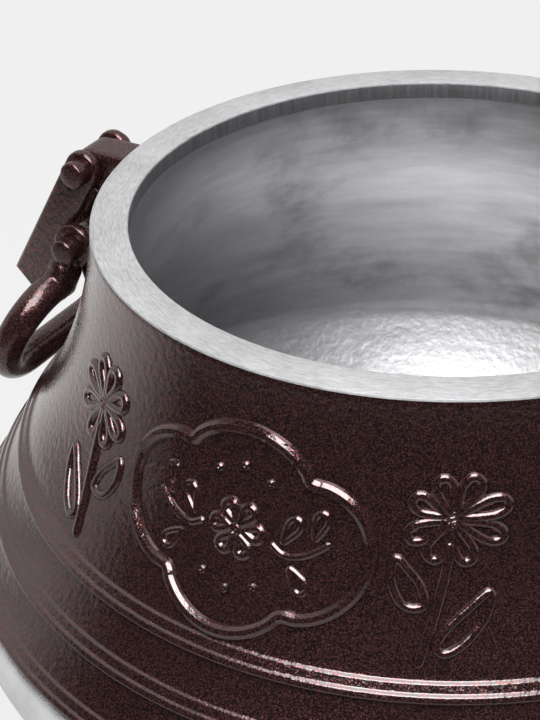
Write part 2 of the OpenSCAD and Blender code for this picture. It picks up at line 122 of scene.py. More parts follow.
class Sheet:
    """A node tree and the helpers that add nodes to it."""

    def __init__(self, tree: bpy.types.NodeTree, coordinate: str) -> None:
        """Empties a tree and keeps its place vector.

        Args:
            tree: The tree.
            coordinate: The Texture Coordinate output that gives the place.
        """
        self.tree = tree
        self.tree.nodes.clear()
        self.place = self.node("ShaderNodeTexCoord", {}, {}, coordinate)

    def node(self, kind: str, settings: dict[str, object], inputs: dict[int | str, object],
             output: int | str = 0) -> Socket:
        """Adds a node of any kind.

        Args:
            kind: The node's type.
            settings: Its own properties, set before its sockets.
            inputs: Values or links of its sockets, by name or number.
            output: The output to hand back.

        Returns:
            That output.
        """
        made = self.tree.nodes.new(kind)
        for name, value in settings.items():
            setattr(made, name, value)
        for key, value in inputs.items():
            self.feed(made.inputs[key], value)
        return Socket(self, made.outputs[output])

    def feed(self, socket: bpy.types.NodeSocket, value: object) -> None:
        """Links an output to a socket, or sets a plain value on it.

        Args:
            socket: The socket.
            value: An output of this tree, or a value.
        """
        if isinstance(value, Socket):
            self.tree.links.new(value.output, socket)
        else:
            socket.default_value = value

    def axis(self, name: str) -> Socket:
        """One coordinate of the place."""
        return self.node("ShaderNodeSeparateXYZ", {}, {0: self.place}, name)

    def towards(self, direction: Point) -> Socket:
        """How far the place lies along a level direction."""
        return self.axis("X") * direction[0] + self.axis("Y") * direction[1]

    def ray(self, kind: str) -> Socket:
        """1 for rays of one kind."""
        return self.node("ShaderNodeLightPath", {}, {}, f"Is {kind} Ray")


class Shader(Sheet):
    """One material: its nodes and its Principled shader."""

    def __init__(self, name: str) -> None:
        """Makes a material with a Principled shader and nothing else.

        Args:
            name: The material's name.
        """
        self.material = bpy.data.materials.new(name)
        self.material.use_nodes = True
        super().__init__(self.material.node_tree, "Object")
        self.principled = self.tree.nodes.new("ShaderNodeBsdfPrincipled")
        self.lit = Socket(self, self.principled.outputs[0])
        self.surface = self.tree.nodes.new("ShaderNodeOutputMaterial").inputs["Surface"]
        self.feed(self.surface, self.lit)

    def finish(self, values: dict[str, object]) -> bpy.types.Material:
        """Sets the Principled shader's sockets.

        Args:
            values: Values or links, by the sockets' names.

        Returns:
            The material.
        """
        for name, value in values.items():
            self.feed(self.principled.inputs[name], value)
        return self.material

    def radius(self) -> Socket:
        """Distance from the upright axis, in metres."""
        x, y = self.axis("X"), self.axis("Y")
        return (x * x + y * y) ** 0.5

    def noise(self, scale: float, detail: float = 2.0, rough: float = 0.5,
              place: Socket | None = None) -> Socket:
        """Noise from 0 to 1 at a number of features per metre."""
        inputs = {"Vector": place or self.place, "Scale": scale, "Detail": detail, "Roughness": rough}
        return self.node("ShaderNodeTexNoise", {}, inputs)

    def vector(self, x: Socket | float, y: Socket | float, z: Socket | float) -> Socket:
        """A vector of three values."""
        return self.node("ShaderNodeCombineXYZ", {}, {0: x, 1: y, 2: z})

    def mix(self, share: Socket, first: Colour | Socket, second: Colour | Socket) -> Socket:
        """Blend of two colours."""
        return self.node("ShaderNodeMix", {"data_type": "RGBA"}, {0: share, 6: first, 7: second}, 2)

    def bump(self, height: Socket, depth: float) -> Socket:
        """Normal that a height of a given depth in metres gives."""
        return self.node("ShaderNodeBump", {}, {"Height": height, "Distance": depth}, "Normal")


@dataclass(frozen=True)
class Enamel:
    """Dark brown hammer enamel with reddish flakes, which may end in a sprayed edge over bare casting."""

    name: str
    ground: Colour = (0.0075, 0.0034, 0.0036, 1.0)
    flake: Colour = (0.42, 0.165, 0.16, 1.0)
    flakes_per_m: float = 1950.0
    flake_cut: Span = (0.49, 0.65)
    flake_least: float = 0.38
    flake_rough: float = 0.24
    flake_height: float = 0.12
    shine_cut: Span = (0.05, 0.40)
    shine: float = 0.9
    drift_per_m: float = 24.0
    peel_per_m: float = 520.0
    peel_depth: float = 0.00015
    gloss: float = 0.12
    ior: float = 2.0
    paint_foot: float | None = None
    wave_per_m: float = 90.0
    wave: float = 0.0012
    spray_per_m: float = 1900.0
    spray: float = 0.0026
    spray_fade: Span = (-0.0034, 0.0008)
    bare_dark: Colour = (0.66, 0.66, 0.67, 1.0)
    bare_pale: Colour = (0.86, 0.86, 0.87, 1.0)
    bare_cut: Span = (0.3, 0.8)
    bare_per_m: float = 60.0
    bare_rough: float = 0.46
    bare_metal: float = 0.45

    def material(self) -> bpy.types.Material:
        """Builds the material.

        Returns:
            The enamel, with bare casting below its foot.
        """
        shader = Shader(self.name)
        drift = shader.noise(self.drift_per_m, detail=3.0)
        speckle = shader.noise(self.flakes_per_m, rough=0.7)
        flakes = speckle.step(*self.flake_cut) * (self.flake_least + drift * (1.0 - self.flake_least))
        colour = shader.mix(flakes, self.ground, self.flake)
        rough = self.gloss + flakes * self.flake_rough
        metal = flakes.step(*self.shine_cut) * self.shine
        height = shader.noise(self.peel_per_m, rough=0.45) + speckle * self.flake_height
        if self.paint_foot is not None:
            painted = self._painted(shader)
            bare = 1.0 - painted
            colour = shader.mix(painted, self._casting(shader), colour)
            rough = rough * painted + bare * self.bare_rough
            metal = metal * painted + bare * self.bare_metal
        normal = shader.bump(height, self.peel_depth)
        return shader.finish({
            "Base Color": colour, "Roughness": rough, "Metallic": metal, "Normal": normal, "IOR": self.ior})

    def _painted(self, shader: Shader) -> Socket:
        """Where the paint lies.

        Args:
            shader: The material.

        Returns:
            1 on the paint and 0 below its sprayed edge.
        """
        wave = shader.noise(self.wave_per_m, detail=3.0, rough=0.6) * self.wave
        spray = shader.noise(self.spray_per_m, rough=0.7) * self.spray
        edge = self.paint_foot * MM + (self.wave + self.spray) / 2
        low, high = self.spray_fade
        return (shader.axis("Z") + (wave + spray)).step(edge + low, edge + high)

    def _casting(self, shader: Shader) -> Socket:
        """Colour of the bare casting under the paint's edge."""
        cloud = shader.noise(self.bare_per_m, detail=4.0, rough=0.6).step(*self.bare_cut)
        return shader.mix(cloud, self.bare_dark, self.bare_pale)


@dataclass(frozen=True)
class TurnedMetal:
    """Metal with tool marks that follow its turning and cloudy stains; some also get pebbles, and some a
    painted shade on one side.
    """

    name: str
    dark: Colour
    pale: Colour
    across_per_m: float
    radial_per_m: float
    upright_per_m: float
    rough: float = 0.38
    metal: float = 0.8
    stain: float = 0.35
    groove: float = 0.00004
    pits_per_m: float = 900.0
    painted_shade: float = 0.0
    pebble: float = 0.0
    smear: float = 0.0
    MARK_CUT = (0.28, 0.72)
    MARK_SHARE = 0.6
    MARK_ROUGH = 0.16
    CLOUDS_PER_M = 30.0
    CLOUD_CUT = (0.3, 0.7)
    CLOUD_ROUGH = 0.10
    LEAST_SHARE = 0.05
    PIT_CUT = (0.56, 0.72)
    PIT_SHADE = 0.45
    PIT_DEPTH = 0.8
    # Painted shade: the colour and the side (-X, -Y) towards which the metal is darkened to stand in for
    # the shade that falls there.
    PAINTED_SHADE_COLOUR = (0.06, 0.06, 0.065, 1.0)
    PAINTED_SHADE_SIDE = (-0.857, -0.515)
    PAINTED_SHADE_SPAN = (-0.03, 0.14)
    PAINTED_SHADE_DRIFT = 0.05
    SOOT = (0.10, 0.10, 0.105, 1.0)
    SMEARS_PER_M = 24.0
    SMEAR_CUT = (0.48, 0.72)
    SMEAR_ROUGH = 0.2
    PEBBLES_PER_M = 360.0
    PEBBLE_TOP = (0.095, 0.125)
    PEBBLE_DRIFT = 0.02
    PEBBLE_SHADE = 0.12
    PEBBLE_ROUGH = 0.16

    def material(self) -> bpy.types.Material:
        """Builds the material.

        Returns:
            The metal.
        """
        shader = Shader(self.name)
        x = shader.axis("X") * self.across_per_m
        y = shader.axis("Y") * self.across_per_m
        turned = shader.radius() * self.radial_per_m + shader.axis("Z") * self.upright_per_m
        marks = shader.noise(1.0, detail=3.0, rough=0.6, place=shader.vector(x, y, turned))
        cloud = shader.noise(self.CLOUDS_PER_M, detail=4.0, rough=0.6)
        pits = shader.noise(self.pits_per_m, rough=0.6).step(*self.PIT_CUT)
        share = marks.step(*self.MARK_CUT) * self.MARK_SHARE + cloud.step(*self.CLOUD_CUT) * self.stain
        share = (share + self.LEAST_SHARE) * (1.0 - pits * self.PIT_SHADE)
        colour = shader.mix(share, self.dark, self.pale)
        rough = self.rough + marks * self.MARK_ROUGH + cloud * self.CLOUD_ROUGH
        height = marks - pits * self.PIT_DEPTH
        # Painted shade: darkens the side that faces -X and -Y, where the inside lies in shade.
        if self.painted_shade:
            side = shader.towards(self.PAINTED_SHADE_SIDE) + cloud * self.PAINTED_SHADE_DRIFT
            colour = shader.mix(side.step(*self.PAINTED_SHADE_SPAN) * self.painted_shade, colour, self.PAINTED_SHADE_COLOUR)
        if self.pebble:
            low = 1.0 - (shader.axis("Z") + cloud * self.PEBBLE_DRIFT).step(*self.PEBBLE_TOP)
            smudge = shader.noise(self.SMEARS_PER_M, detail=5.0, rough=0.62)
            smudge = smudge.step(*self.SMEAR_CUT) * self.smear
            colour = shader.mix(smudge + low * self.PEBBLE_SHADE, colour, self.SOOT)
            rough = rough + low * self.PEBBLE_ROUGH + smudge * self.SMEAR_ROUGH
            height = height + shader.noise(self.PEBBLES_PER_M) * low * self.pebble
        normal = shader.bump(height, self.groove)
        return shader.finish({
            "Base Color": colour, "Roughness": rough, "Metallic": self.metal, "Normal": normal})


@dataclass(frozen=True)
class Moulded:
    """Moulded rubber or phenolic: a dark skin with a fine grain."""

    name: str
    colour: Colour
    worn: Colour
    rough: float
    grain_per_m: float = 1400.0
    grain_depth: float = 0.00004
    grain_share: float = 0.2
    grain_rough: float = 0.12
    wear_per_m: float = 80.0
    wear_cut: Span = (0.5, 0.8)
    wear_share: float = 0.6
    wear_rough: float = 0.08

    def material(self) -> bpy.types.Material:
        """Builds the material.

        Returns:
            The skin.
        """
        shader = Shader(self.name)
        grain = shader.noise(self.grain_per_m, detail=3.0, rough=0.6)
        wear = shader.noise(self.wear_per_m, detail=4.0, rough=0.65).step(*self.wear_cut)
        colour = shader.mix(wear * self.wear_share + grain * self.grain_share, self.colour, self.worn)
        rough = self.rough + grain * self.grain_rough + wear * self.wear_rough
        normal = shader.bump(grain, self.grain_depth)
        return shader.finish({"Base Color": colour, "Roughness": rough, "Normal": normal})


def show(name: str, bm: bmesh.types.BMesh, materials: Sequence[bpy.types.Material],
         sharp: float = 38.0) -> bpy.types.Object:
    """Makes an object of a finished bmesh, smooth but for its sharp edges.

    Args:
        name: The piece's name.
        bm: The mesh, which is freed.
        materials: Its materials, by number.
        sharp: Angle in degrees from which an edge stays sharp.

    Returns:
        The object, at the origin.
    """
    mesh = bpy.data.meshes.new(name)
    bm.to_mesh(mesh)
    bm.free()
    for material in materials:
        mesh.materials.append(material)
    mesh.shade_smooth()
    mesh.set_sharp_from_angle(angle=math.radians(sharp))
    piece = bpy.data.objects.new(name, mesh)
    bpy.context.scene.collection.objects.link(piece)
    return piece


def seat(piece: bpy.types.Object, body: str, slot: Slot, *nodes: str) -> None:
    """Lets a piece ride on a body and stand for CAD nodes.

    Args:
        piece: The object.
        body: The body that it moves with.
        slot: The slot of its finish; not used.
        nodes: The CAD nodes that it stands for.
    """
    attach(piece, body)
    if nodes:
        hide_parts(*nodes)
    log.info("%s rides on %s with %d faces", piece.name, body, len(piece.data.polygons))


def blended(piece: bpy.types.Object, voxel: float, rounds: int) -> None:
    """Fuses a piece's overlapping solids into one skin with soft cast corners.

    Args:
        piece: The object, whose mesh is replaced.
        voxel: Size of the skin's cells in millimetres.
        rounds: Rounds of smoothing.
    """
    remesh = piece.modifiers.new("skin", "REMESH")
    remesh.mode = "VOXEL"
    remesh.voxel_size = voxel * MM
    remesh.use_smooth_shade = True
    smooth = piece.modifiers.new("soft", "SMOOTH")
    smooth.factor = 0.5
    smooth.iterations = rounds
    graph = bpy.context.evaluated_depsgraph_get()
    mesh = bpy.data.meshes.new_from_object(piece.evaluated_get(graph))
    piece.modifiers.clear()
    piece.data = mesh
    mesh.shade_smooth()


def weld(bm: bmesh.types.BMesh) -> None:
    """Merges doubles and turns the faces outwards."""
    bmesh.ops.remove_doubles(bm, verts=bm.verts, dist=SEAM)
    bmesh.ops.recalc_face_normals(bm, faces=bm.faces)


def to_side(bm: bmesh.types.BMesh, side: Side) -> None:
    """Moves a mesh that is built at +X to its side of the pot, with its faces outwards."""
    bmesh.ops.scale(bm, verts=bm.verts, vec=(side.value, 1, 1))
    bmesh.ops.recalc_face_normals(bm, faces=bm.faces)


def hang(bm: bmesh.types.BMesh, pin: Point, lean: float, side: Side) -> None:
    """Moves a piece that hangs straight down from the origin to its pin on one side.

    Args:
        bm: The mesh.
        pin: Distance of the pin from the pot's axis, and its height.
        lean: Degrees by which the piece leans outwards.
        side: The side of the pot.
    """
    place = Matrix.Translation((pin[0] * MM, 0, pin[1] * MM)) @ Matrix.Rotation(-math.radians(lean), 4, "Y")
    bmesh.ops.transform(bm, matrix=place, verts=bm.verts)
    to_side(bm, side)


def merge(bm: bmesh.types.BMesh, part: bmesh.types.BMesh) -> None:
    """Adds a part to a mesh.

    Args:
        bm: The mesh to add to.
        part: The part, which is freed.
    """
    mesh = bpy.data.meshes.new("part")
    part.to_mesh(mesh)
    part.free()
    bm.from_mesh(mesh)
    bpy.data.meshes.remove(mesh)


def only(kind: type, items: Sequence[object]) -> list:
    """The items of one kind."""
    return [item for item in items if isinstance(item, kind)]


def turn(bm: bmesh.types.BMesh, points: Sequence[Point], steps: int, material: int = 0) -> None:
    """Turns a chain of (radius, height) points into a skin about the upright axis.

    An eighth of the turn is spun, and then doubled three times.

    Args:
        bm: The mesh to add to.
        points: The chain in millimetres.
        steps: Steps of a whole turn, a multiple of eight.
        material: Number of the skin's material.
    """
    part = bmesh.new()
    verts = [part.verts.new((r * MM, 0.0, z * MM)) for r, z in points]
    edges = [part.edges.new(pair) for pair in zip(verts, verts[1:])]
    share = 8
    bmesh.ops.spin(part, geom=verts + edges, cent=(0, 0, 0), axis=(0, 0, 1), dvec=(0, 0, 0),
                   angle=math.tau / share, steps=steps // share)
    while share > 1:
        twin = bmesh.ops.duplicate(part, geom=part.verts[:] + part.edges[:] + part.faces[:])["geom"]
        bmesh.ops.rotate(part, verts=only(bmesh.types.BMVert, twin), cent=(0, 0, 0),
                         matrix=Matrix.Rotation(math.tau / share, 3, "Z"))
        share //= 2
    for face in part.faces:
        face.material_index = material
    merge(bm, part)


def plate(bm: bmesh.types.BMesh, outline: Sequence[Point], low: float, high: float,
          round_edge: float) -> None:
    """Adds a plate of an outline in X and Z, between two values of Y, with rounded edges.

    Args:
        bm: The mesh to add to.
        outline: Corners in millimetres.
        low: Lower Y.
        high: Upper Y.
        round_edge: Radius of the edges' rounding.
    """
    face = bm.faces.new([bm.verts.new((x * MM, low * MM, z * MM)) for x, z in outline])
    grown = bmesh.ops.extrude_face_region(bm, geom=[face])["geom"]
    bmesh.ops.translate(bm, verts=only(bmesh.types.BMVert, grown), vec=(0, (high - low) * MM, 0))
    caps = [face, *only(bmesh.types.BMFace, grown)]
    edges = list(dict.fromkeys(edge for cap in caps for edge in cap.edges))
    bmesh.ops.bevel(bm, geom=edges, offset=round_edge * MM, offset_type="OFFSET", segments=3, profile=0.5,
                    affect="EDGES", material=-1, clamp_overlap=True)


def rounded(centre: Point, radius: float, first: float, last: float, steps: int = 12) -> list[Point]:
    """Points on an arc in degrees about a centre."""
    angles = [math.radians(first + (last - first) * i / steps) for i in range(steps + 1)]
    return [(centre[0] + radius * math.cos(angle), centre[1] + radius * math.sin(angle))
            for angle in angles]


def disc(centre: Point, radius: float, corners: int = 24) -> list[Point]:
    """Corners of a circle about a centre."""
    return rounded(centre, radius, 0.0, 360.0 - 360.0 / corners, corners - 1)


def swung(points: Sequence[Point], angle: float) -> list[Point]:
    """Points turned about the origin by an angle in degrees."""
    cos, sin = math.cos(math.radians(angle)), math.sin(math.radians(angle))
    return [(u * cos - v * sin, u * sin + v * cos) for u, v in points]


def sweep(bm: bmesh.types.BMesh, places: Sequence[Matrix], closed: bool, sides: int) -> None:
    """Draws a unit circle along a row of places and joins the rings.

    Args:
        bm: The mesh to add to.
        places: One matrix for each ring, which also sets its size.
        closed: Whether the last ring joins the first.
        sides: Sides of each ring.
    """
    part = bmesh.new()
    rings = []
    for place in places:
        made = bmesh.ops.create_circle(part, segments=sides, radius=1.0, matrix=place)["verts"]
        rings.append(list(dict.fromkeys(edge for vert in made for edge in vert.link_edges)))
    pairs = list(zip(rings, rings[1:]))
    if closed:
        pairs.append((rings[-1], rings[0]))
    for first, second in pairs:
        bmesh.ops.bridge_loops(part, edges=first + second)
    if not closed:
        for ring in (rings[0], rings[-1]):
            bmesh.ops.contextual_create(part, geom=ring)
    merge(bm, part)


@dataclass
class PotForm:
    """Sizes of the casting, and the points that follow from them, as (radius, height)."""

    height: float = 192.0
    rim_r: float = 105.0
    rim_w: float = 11.5
    mouth_band_h: float = 5.4
    band_step: float = 0.5
    wall: float = 8.5
    base_t: float = 9.0
    base_flat: float = 40.0
    floor_flat: float = 30.0
    rim_lean: float = 4.0
    throat_lean: float = 6.0
    shoulder_lean: float = 29.5
    neck_sweep: float = 148.0
    belly_drop: float = 110.0
    belly_turn: float = 18.0
    belly_tuck: float = 25.0
    bowl_end: float = 78.0
    rim_round: float = 0.7
    ring_drops: tuple[float, ...] = (74.8, 90.0, 105.7)
    ring_lead: float = 5.0
    ring_ledges: tuple[float, ...] = (-2.85, 0.37)
    ledge_w: float = 1.2
    ring_rise: float = 0.65
    ring_slope: float = 0.05
    ring_foot: float = 3.1
    foot_r: float = 1.1
    NECK_STEPS = 40
    BOWL_STEPS = 32
    OUTER_TURN_STEPS = 16
    INNER_TURN_STEPS = 12
    LEDGE_STEPS = 6
    FOOT_STEPS = 9
    EDGE_MIDDLE = 0.3

    @staticmethod
    def arc(start: Point, radius: float, first: float, last: float, steps: int) -> list[Point]:
        """Points of an arc going down from a start while its lean from upright changes.

        Args:
            start: Where the arc begins, which is not among the points.
            radius: The arc's radius.
            first: Lean at the start in degrees, positive where the wall widens downwards.
            last: Lean at the end.
            steps: Number of points.

        Returns:
            The points.
        """
        reach = math.copysign(radius, last - first)
        began = math.radians(first)
        leans = [math.radians(first + (last - first) * i / steps) for i in range(1, steps + 1)]
        return [(start[0] + reach * (math.cos(began) - math.cos(lean)),
                 start[1] - reach * (math.sin(lean) - math.sin(began))) for lean in leans]

    def neck_length(self) -> float:
        """Length of the swept neck along its outside."""
        return self.neck_sweep * math.radians(self.shoulder_lean - self.rim_lean)

    def outside_at(self, along: float) -> tuple[Point, float]:
        """The outside at a length along it from the rim.

        Args:
            along: The length.

        Returns:
            The point there, and its lean in degrees.
        """
        lean = min(self.rim_lean + math.degrees(along / self.neck_sweep), self.shoulder_lean)
        radius, height = self.arc((self.rim_r, self.height), self.neck_sweep, self.rim_lean, lean, 1)[0]
        past = max(along - self.neck_length(), 0.0)
        slope = math.radians(self.shoulder_lean)
        return (radius + past * math.sin(slope), height - past * math.cos(slope)), lean

    def lifted(self, along: float, lift: float) -> Point:
        """The point at a lift square above a length along the outside."""
        (radius, height), lean = self.outside_at(along)
        return radius + lift * math.cos(math.radians(lean)), height + lift * math.sin(math.radians(lean))

    def along_at_drop(self, drop: float) -> float:
        """Length along the outside at a depth.

        Args:
            drop: Depth below the rim.

        Returns:
            The length from the rim.
        """
        rim = math.radians(self.rim_lean)
        slope = math.radians(self.shoulder_lean)
        sweep_drop = self.neck_sweep * (math.sin(slope) - math.sin(rim))
        if drop >= sweep_drop:
            return self.neck_length() + (drop - sweep_drop) / math.cos(slope)
        return self.neck_sweep * (math.asin(drop / self.neck_sweep + math.sin(rim)) - rim)

    def ring_section(self) -> list[Point]:
        """The section of a raised ring: two soft ledges and a rounded lower edge.

        Returns:
            Lengths past the ring's middle, each with its lift.
        """
        stops = [ledge + (i / self.LEDGE_STEPS - 0.5) * self.ledge_w
                 for ledge in self.ring_ledges for i in range(self.LEDGE_STEPS + 1)]
        stops.append(self.ring_foot - self.foot_r)
        section = [(stop, self.ring_top(stop)) for stop in stops]
        edge, top = section[-1]
        turns = [math.radians(90.0 * i / self.FOOT_STEPS) for i in range(1, self.FOOT_STEPS + 1)]
        return section + [(edge + self.foot_r * math.sin(angle), top * math.cos(angle)) for angle in turns]

    def ring_top(self, past: float) -> float:
        """Lift of a raised ring's face at a length past the ring's middle."""
        ledges = sum(self.ease((past - ledge) / self.ledge_w + 0.5) for ledge in self.ring_ledges)
        return self.ring_rise * ledges + self.ring_slope * (past - self.ring_ledges[0] + self.ledge_w / 2)

    @staticmethod
    def ease(share: float) -> float:
        """Soft step from 0 to 1."""
        held = min(max(share, 0.0), 1.0)
        return held * held * (3.0 - 2.0 * held)

    def outside(self) -> list[Point]:
        """The outside, from under the rim's edge to the middle of the base.

        Returns:
            Its points.
        """
        first = self.rim_round
        last = self.along_at_drop(self.ring_drops[0]) - self.ring_lead
        stops = [(first + (last - first) * i / self.NECK_STEPS, 0.0) for i in range(self.NECK_STEPS + 1)]
        for drop in self.ring_drops:
            middle = self.along_at_drop(drop)
            stops += [(middle + past, lift) for past, lift in self.ring_section()]
        stops.append((self.along_at_drop(self.belly_drop), 0.0))
        points = [self.lifted(along, lift) for along, lift in stops]
        points += self.arc(points[-1], self.belly_turn, self.shoulder_lean, -self.belly_tuck,
                           self.OUTER_TURN_STEPS)
        points += self.arc(points[-1], self.bowl_r(), -self.belly_tuck, -self.bowl_end, self.BOWL_STEPS)
        return [*points, (self.base_flat, 0.0), (0.0, 0.0)]

    def belly_foot(self) -> Point:
        """Where the belly's turn becomes the bowl, on the outside."""
        top = self.outside_at(self.along_at_drop(self.belly_drop))[0]
        return self.arc(top, self.belly_turn, self.shoulder_lean, -self.belly_tuck, 1)[0]

    def bowl_r(self) -> float:
        """Radius of the bowl's outside, which ends on the base."""
        tuck = math.sin(math.radians(self.belly_tuck))
        return self.belly_foot()[1] / (math.sin(math.radians(self.bowl_end)) - tuck)

    def mouth(self) -> Point:
        """Radius of the mouth, and height of the foot of its band."""
        return self.rim_r - self.rim_w, self.height - self.mouth_band_h

    def rim(self) -> list[Point]:
        """The flat rim with its two broken edges.

        Returns:
            Its points, from the mouth outwards.
        """
        inner, _ = self.mouth()
        top = self.height
        edge = self.rim_round
        soft = edge * self.EDGE_MIDDLE
        return [(inner, top - edge), (inner + soft, top - soft), (inner + edge, top),
                (inner + self.rim_w / 2, top), (self.rim_r - edge, top), (self.rim_r - soft, top - soft),
                self.outside_at(edge)[0]]

    def mouth_band(self) -> list[Point]:
        """Points of the straight machined band inside the mouth, from the rim down."""
        inner, foot = self.mouth()
        return [(inner, self.height - self.rim_round), (inner, foot + 2 * self.band_step), (inner, foot),
                (inner + self.band_step, foot - self.band_step)]

    def inside(self) -> list[Point]:
        """The inside, from the machined band to the middle of the floor.

        Returns:
            Its points.
        """
        slope = math.radians(self.shoulder_lean)
        throat = math.radians(self.throat_lean)
        inner, foot = self.mouth()
        top, _ = self.outside_at(self.along_at_drop(self.belly_drop))
        cone = top[0] + (top[1] - foot) * math.tan(slope)
        reach = (inner - cone + self.wall / math.cos(slope)) / (
            (math.sin(slope) - math.sin(throat)) * math.tan(slope) - math.cos(throat) + math.cos(slope))
        neck = self.arc((inner, foot), reach, self.throat_lean, self.shoulder_lean, self.NECK_STEPS)
        points = [(inner + self.band_step, foot - self.band_step), *neck[2:]]
        points.append((top[0] - self.wall * math.cos(slope), top[1] - self.wall * math.sin(slope)))
        points += self.arc(points[-1], self.belly_turn - self.wall, self.shoulder_lean, -self.belly_tuck,
                           self.INNER_TURN_STEPS)
        middle = self.belly_foot()[1] + self.bowl_r() * math.sin(math.radians(self.belly_tuck))
        radius = self.bowl_r() - self.wall
        end = math.degrees(math.asin((middle - self.base_t) / radius))
        points += self.arc(points[-1], radius, -self.belly_tuck, -end, self.BOWL_STEPS)
        return [*points, (self.floor_flat, self.base_t), (0.0, self.base_t)]

    def on_shoulder(self, azimuth: float, along: float, lift: float) -> tuple[Vector, Vector]:
        """A place on the outside, and the outward direction there.

        Args:
            azimuth: Degrees from the front, towards +X.
            along: Length along the outside from the rim.
            lift: Height above the surface.

        Returns:
            The place in metres, and a unit vector.
        """
        (radius, height), lean = self.outside_at(along)
        slope = math.radians(lean)
        angle = math.radians(azimuth)
        flat = Vector((math.sin(angle), -math.cos(angle), 0.0))
        normal = flat * math.cos(slope) + Vector((0, 0, math.sin(slope)))
        place = flat * radius + Vector((0, 0, height)) + normal * lift
        return place * MM, normal


@dataclass(frozen=True)
class Arm:
    """An arm of the casting, an ear or a lug, with a round end at a pin."""

    pin: Point
    end_r: float
    half: float
    root_x: float
    root_drop: float
    leave: float

    def outline(self, lean: float) -> list[Point]:
        """The arm's outline, seen from the front.

        Args:
            lean: Degrees by which the foot of its underside leans outwards.

        Returns:
            The outline's corners.
        """
        _, height = self.pin
        foot_x = self.root_x + self.root_drop * math.tan(math.radians(lean))
        arc = rounded(self.pin, self.end_r, -self.leave, 90.0)
        return [*arc, (self.root_x, height + self.end_r), (foot_x, height - self.root_drop)]


@dataclass
class Pot:
    """The casting: its turned shell, and the ears and lugs for the clamps and handles."""

    form: PotForm
    steps: int = 240
    paint_drop: float = 2.7
    arm_edge: float = 1.2
    root_sunk: float = 0.9
    root_t: float = 5.0
    root_reach: float = 15.0
    ROOT_DROPS = range(3, 72, 6)
    ARMS = (
        Arm(CLAMP_PIN, end_r=5.6, half=6.9, root_x=101.0, root_drop=19.0, leave=62.0),
        Arm(RING_PIN, end_r=5.1, half=11.0, root_x=106.0, root_drop=30.5, leave=22.0))
    RIM_FACE = TurnedMetal(
        "rim_face", (0.27, 0.27, 0.276, 1), (0.54, 0.54, 0.55, 1),
        across_per_m=330.0, radial_per_m=2600.0, upright_per_m=0.0,
        rough=0.46, metal=0.35, groove=0.00003, pits_per_m=2200.0)
    # The mouth band and the inside carry a painted shade, darker towards -X and -Y.
    MOUTH_BAND = TurnedMetal(
        "mouth_band", (0.15, 0.15, 0.156, 1), (0.33, 0.33, 0.34, 1),
        across_per_m=620.0, radial_per_m=0.0, upright_per_m=30.0,
        rough=0.40, metal=0.8, painted_shade=0.5)
    INSIDE_FACE = TurnedMetal(
        "inside_face", (0.62, 0.62, 0.635, 1), (0.95, 0.95, 0.97, 1),
        across_per_m=30.0, radial_per_m=300.0, upright_per_m=300.0,
        rough=0.25, metal=0.86, stain=0.45, groove=0.00002, pits_per_m=1500.0,
        painted_shade=0.76, pebble=14.0, smear=0.45)

    def build(self, enamel: bpy.types.Material) -> None:
        """Builds the shell and its four arms.

        Args:
            enamel: The finish of the arms.
        """
        form = self.form
        bm = bmesh.new()
        for number, points in enumerate((form.outside(), form.rim(), form.mouth_band(), form.inside())):
            turn(bm, points, self.steps, number)
        weld(bm)
        paint = Enamel("pot_enamel", paint_foot=form.height - form.ring_drops[-1] - self.paint_drop)
        finishes = (paint, self.RIM_FACE, self.MOUTH_BAND, self.INSIDE_FACE)
        shell = show("pot_shell", bm, [finish.material() for finish in finishes], sharp=30.0)
        seat(shell, "pot", Slot.CASTING, "pot_body")
        for side in Side:
            self._arms(side, enamel)

    def _arms(self, side: Side, enamel: bpy.types.Material) -> None:
        """Builds one side's ear and lug with a soft root in the wall.

        Args:
            side: The side of the pot.
            enamel: Their finish.
        """
        bm = bmesh.new()
        for arm in self.ARMS:
            plate(bm, arm.outline(self.form.shoulder_lean), -arm.half, arm.half, self.arm_edge)
        self._root(bm)
        to_side(bm, side)
        piece = show(f"{side.word}_pot_ears", bm, (enamel,))
        blended(piece, voxel=0.8, rounds=8)
        seat(piece, "pot", Slot.CASTING)

    def _root(self, bm: bmesh.types.BMesh) -> None:
        """Adds a slab inside the wall that the arms grow out of.

        Args:
            bm: The mesh to add to.
        """
        form = self.form
        outer = [form.lifted(form.along_at_drop(drop), -self.root_sunk) for drop in self.ROOT_DROPS]
        ring = outer + [(radius - self.root_t, height) for radius, height in reversed(outer)]
        reach = math.radians(self.root_reach)
        spot = Matrix.Rotation(-reach, 4, "Z")
        verts = [bm.verts.new(spot @ Vector((x * MM, 0, z * MM))) for x, z in ring]
        face = bm.faces.new(verts)
        bmesh.ops.spin(bm, geom=[face, *face.edges, *verts], cent=(0, 0, 0), axis=(0, 0, 1), dvec=(0, 0, 0),
                       angle=2 * reach, steps=14)


